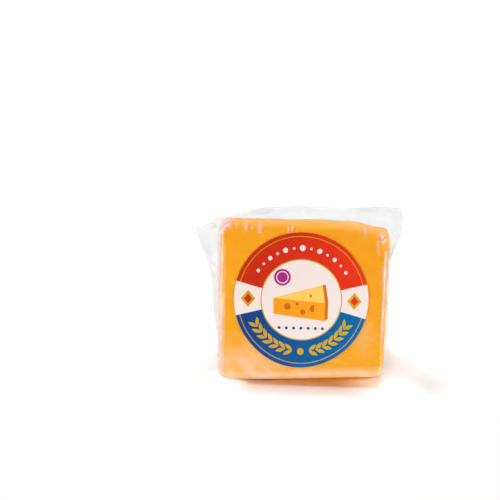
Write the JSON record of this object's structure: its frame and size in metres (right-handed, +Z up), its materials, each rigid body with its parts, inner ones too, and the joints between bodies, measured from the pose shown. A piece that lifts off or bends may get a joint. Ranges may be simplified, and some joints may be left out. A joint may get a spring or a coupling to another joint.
{
  "type": "vacuum packed cheese wedge",
  "caption": "Wedge of hard cheese standing on its rind, vacuum sealed in clear film with flat film edges round the ridge and ends, and a round label on its front face.",
  "frame": {"origin": "middle of the flat strip of rind that the wedge rests on", "axes": "+X along the ridge, -Y out of the labelled face, +Z up"},
  "size_m": [0.1484, 0.0728, 0.1245],
  "materials": {
    "cheese_in_film": "orange-yellow cheese seen through tight, glossy clear film",
    "printed_label": "glossy printed label in red, cream and blue, with gold lines and a cheese drawing"
  },
  "bodies": {
    "root": {"sealed_wedge": "cheese_in_film", "label": "printed_label"}
  },
  "joints": []
}
